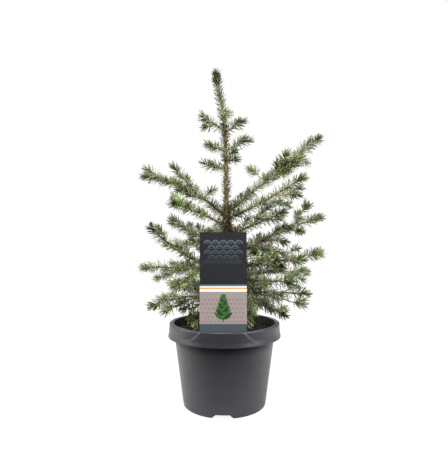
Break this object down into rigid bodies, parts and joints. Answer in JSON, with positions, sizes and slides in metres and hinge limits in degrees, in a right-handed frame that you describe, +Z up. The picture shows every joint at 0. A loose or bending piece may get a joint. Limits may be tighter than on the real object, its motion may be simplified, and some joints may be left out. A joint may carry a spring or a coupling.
{
  "type": "potted spruce tree",
  "caption": "Young Serbian spruce with a slim leaning leader and loose whorls of needled boughs, standing in a round skirted nursery pot with a picture card",
  "frame": {"origin": "the middle of the pot's underside, on the floor, at the foot mount", "axes": "+Z up along the pot's axis; -Y is the side that the card faces, which the picture shows; +X is the picture's right"},
  "size_m": [0.3572, 0.2497, 0.5863],
  "materials": {
    "pot_plastic": "charcoal grey moulded plastic with a soft sheen",
    "soil": "moist dark brown peat and bark",
    "bark": "young orange-brown to brown bark, fine scales",
    "needles": "flat short needles, green above and pale grey-green below",
    "card": "thin printed plastic sheet, charcoal with coloured bands"
  },
  "bodies": {
    "root": {"crown_tip_foliage": "needles", "front_1_foliage": "needles", "front_2_foliage": "needles", "front_3_foliage": "needles", "label_card": "card", "leader_1_foliage": "needles", "leader_2_foliage": "needles", "leader_3_foliage": "needles", "leader_4_foliage": "needles", "leader_5_foliage": "needles", "leader_6_foliage": "needles", "leader_7_foliage": "needles", "lower_1_bough": "bark", "lower_1_foliage": "needles", "lower_2_bough": "bark", "lower_2_foliage": "needles", "lower_3_bough": "bark", "lower_3_foliage": "needles", "lower_4_bough": "bark", "lower_4_foliage": "needles", "lower_5_bough": "bark", "lower_5_foliage": "needles", "middle_10_bough": "bark", "middle_10_foliage": "needles", "middle_1_bough": "bark", "middle_1_foliage": "needles", "middle_2_bough": "bark", "middle_2_foliage": "needles", "middle_3_bough": "bark", "middle_3_foliage": "needles", "middle_4_bough": "bark", "middle_4_foliage": "needles", "middle_5_bough": "bark", "middle_5_foliage": "needles", "middle_6_bough": "bark", "middle_6_foliage": "needles", "middle_7_bough": "bark", "middle_7_foliage": "needles", "middle_8_bough": "bark", "middle_8_foliage": "needles", "middle_9_bough": "bark", "middle_9_foliage": "needles", "pot": "pot_plastic", "soil": "soil", "trunk": "bark", "upper_1_bough": "bark", "upper_1_foliage": "needles", "upper_2_bough": "bark", "upper_2_foliage": "needles", "upper_3_bough": "bark", "upper_3_foliage": "needles", "upper_4_bough": "bark", "upper_4_foliage": "needles", "upper_5_bough": "bark", "upper_5_foliage": "needles", "upper_6_bough": "bark", "upper_6_foliage": "needles", "upper_7_bough": "bark", "upper_7_foliage": "needles"}
  },
  "joints": []
}
